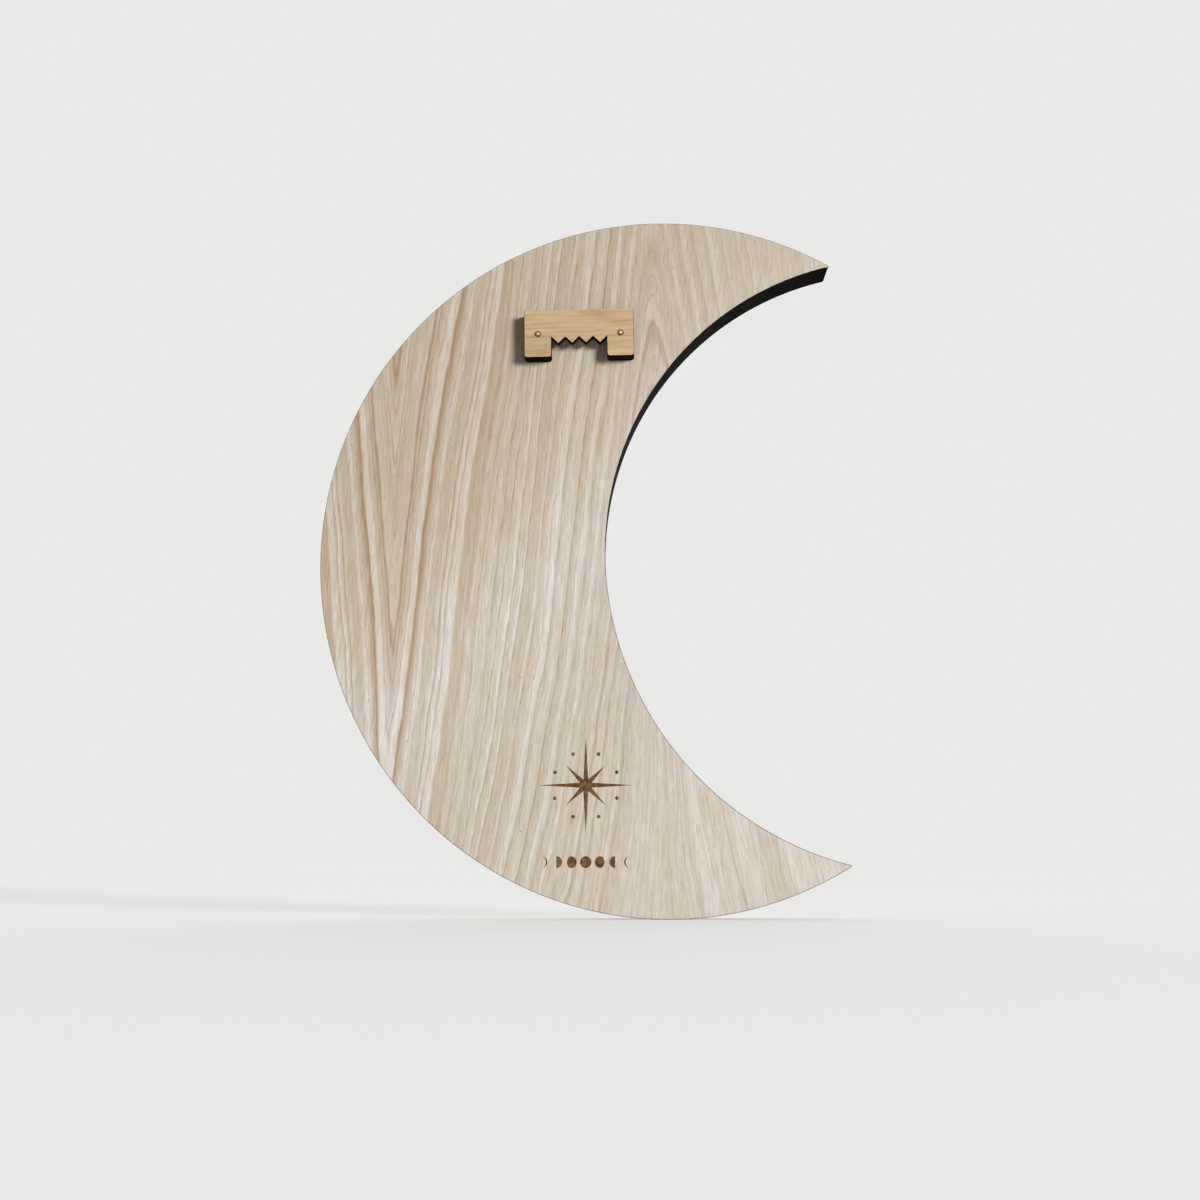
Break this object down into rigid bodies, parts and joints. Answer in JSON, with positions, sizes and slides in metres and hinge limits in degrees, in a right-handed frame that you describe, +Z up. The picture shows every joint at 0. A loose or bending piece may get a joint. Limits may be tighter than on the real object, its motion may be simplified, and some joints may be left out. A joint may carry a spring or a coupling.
{
  "type": "crescent moon wall panel",
  "caption": "Crescent moon panel for a wall: a veneered board cut to two arcs, with a pinned wooden sawtooth hanger on its back.",
  "frame": {"origin": "the nail's seat: the apex of the hanger's middle notch, on the hanger's outer face", "axes": "+Z up along the moon's height, +X towards the horns' points, +Y out of the decorated face, away from the wall"},
  "size_m": [0.2184, 0.0216, 0.3],
  "materials": {
    "oak_veneer": "pale oak veneer, sanded, clear matt sealer",
    "scorched_core": "fibreboard core, its cut edge scorched black by the laser",
    "hanger_wood": "tan laser-cut plywood in two layers, bare, edges scorched black",
    "pin_brass": "brass-plated domed panel pin"
  },
  "bodies": {
    "root": {"back_veneer": "oak_veneer", "board_core": "scorched_core", "front_veneer": "oak_veneer", "sawtooth_hanger": "hanger_wood", "hanger_spacer": "hanger_wood", "hanger_pin_left": "pin_brass", "hanger_pin_right": "pin_brass"}
  },
  "joints": []
}
